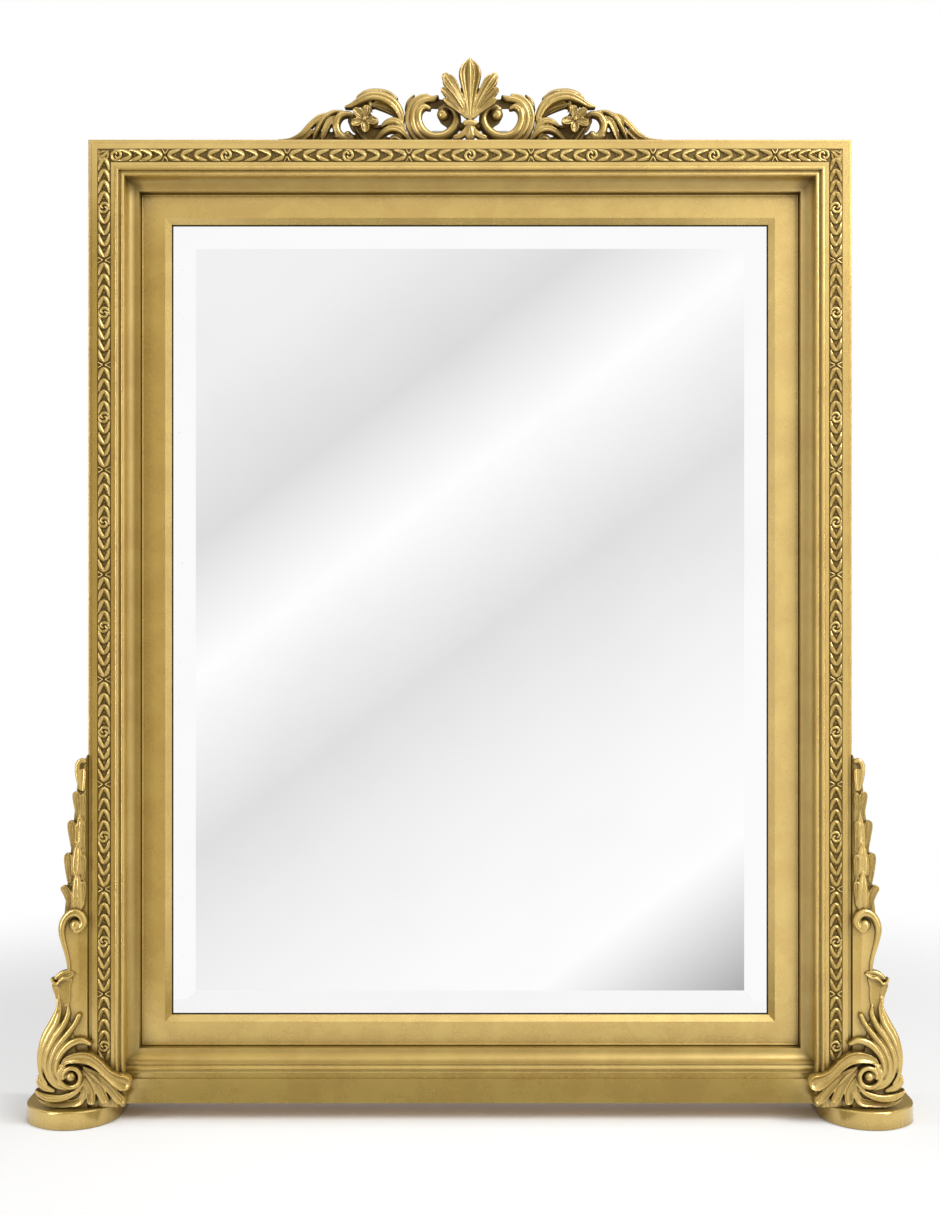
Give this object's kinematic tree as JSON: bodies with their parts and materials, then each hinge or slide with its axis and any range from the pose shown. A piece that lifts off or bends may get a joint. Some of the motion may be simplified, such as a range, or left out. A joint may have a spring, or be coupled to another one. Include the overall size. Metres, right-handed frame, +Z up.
{
  "type": "rectangular mirror",
  "caption": "Tall rectangular giltwood mirror with a carved openwork crest, laurel moulding, bevelled plate and scrolled side brackets on plinth feet.",
  "frame": {"origin": "on the floor below the middle of the object, between the two feet", "axes": "+X across the front to the right, -Y towards the viewer, +Z up"},
  "size_m": [1.262, 0.122, 1.502],
  "materials": {
    "gilt": "satin gold leaf over gesso on carved wood",
    "pine": "raw aged pine",
    "board": "thin brown plywood backboard",
    "mirror": "silvered and bevelled plate glass",
    "brass": "aged satin brass",
    "steel": "dull zinc plated steel",
    "felt": "dark green felt"
  },
  "bodies": {
    "frame": {"backboard": "board", "backboard_screws": "steel", "base_rail": "gilt", "batten_lower": "pine", "batten_screws": "steel", "batten_upper": "pine", "bracket_crest_screws": "steel", "bracket_top_screws": "steel", "carcass_bottom": "pine", "carcass_left": "pine", "carcass_right": "pine", "carcass_top": "pine", "corner_blocks": "pine", "cove_bottom": "gilt", "cove_left": "gilt", "cove_right": "gilt", "cove_top": "gilt", "crest_bracket_left": "steel", "crest_bracket_right": "steel", "crest_flower_left": "gilt", "crest_flower_right": "gilt", "crest_palmette": "gilt", "crest_scroll_left": "gilt", "crest_scroll_right": "gilt", "crest_wing_left": "gilt", "crest_wing_right": "gilt", "felt_left": "felt", "felt_right": "felt", "foot_left": "gilt", "foot_right": "gilt", "foot_screws": "steel", "foot_scroll_left": "gilt", "foot_scroll_right": "gilt", "hanger_screws": "steel", "hanger_strap_left": "brass", "hanger_strap_right": "brass", "husk_chain_left": "gilt", "husk_chain_right": "gilt", "laurel_left": "gilt", "laurel_right": "gilt", "laurel_top": "gilt", "liner_bottom": "gilt", "liner_left": "gilt", "liner_right": "gilt", "liner_top": "gilt", "mirror_plate": "mirror", "moulding_left": "gilt", "moulding_right": "gilt", "moulding_top": "gilt", "side_console_left": "gilt", "side_console_right": "gilt", "side_volute_left": "gilt", "side_volute_right": "gilt"},
    "ring_left": {"hanger_ring_left": "brass"},
    "ring_right": {"hanger_ring_right": "brass"}
  },
  "joints": [
    {"name": "ring_left_swing", "type": "hinge", "parent": "frame", "child": "ring_left", "pos_m": [-0.3, 0.048, 1.11187], "axis": [1, 0, 0], "range_deg": [0, 180]},
    {"name": "ring_right_swing", "type": "hinge", "parent": "frame", "child": "ring_right", "pos_m": [0.3, 0.048, 1.11187], "axis": [1, 0, 0], "range_deg": [0, 180]}
  ]
}
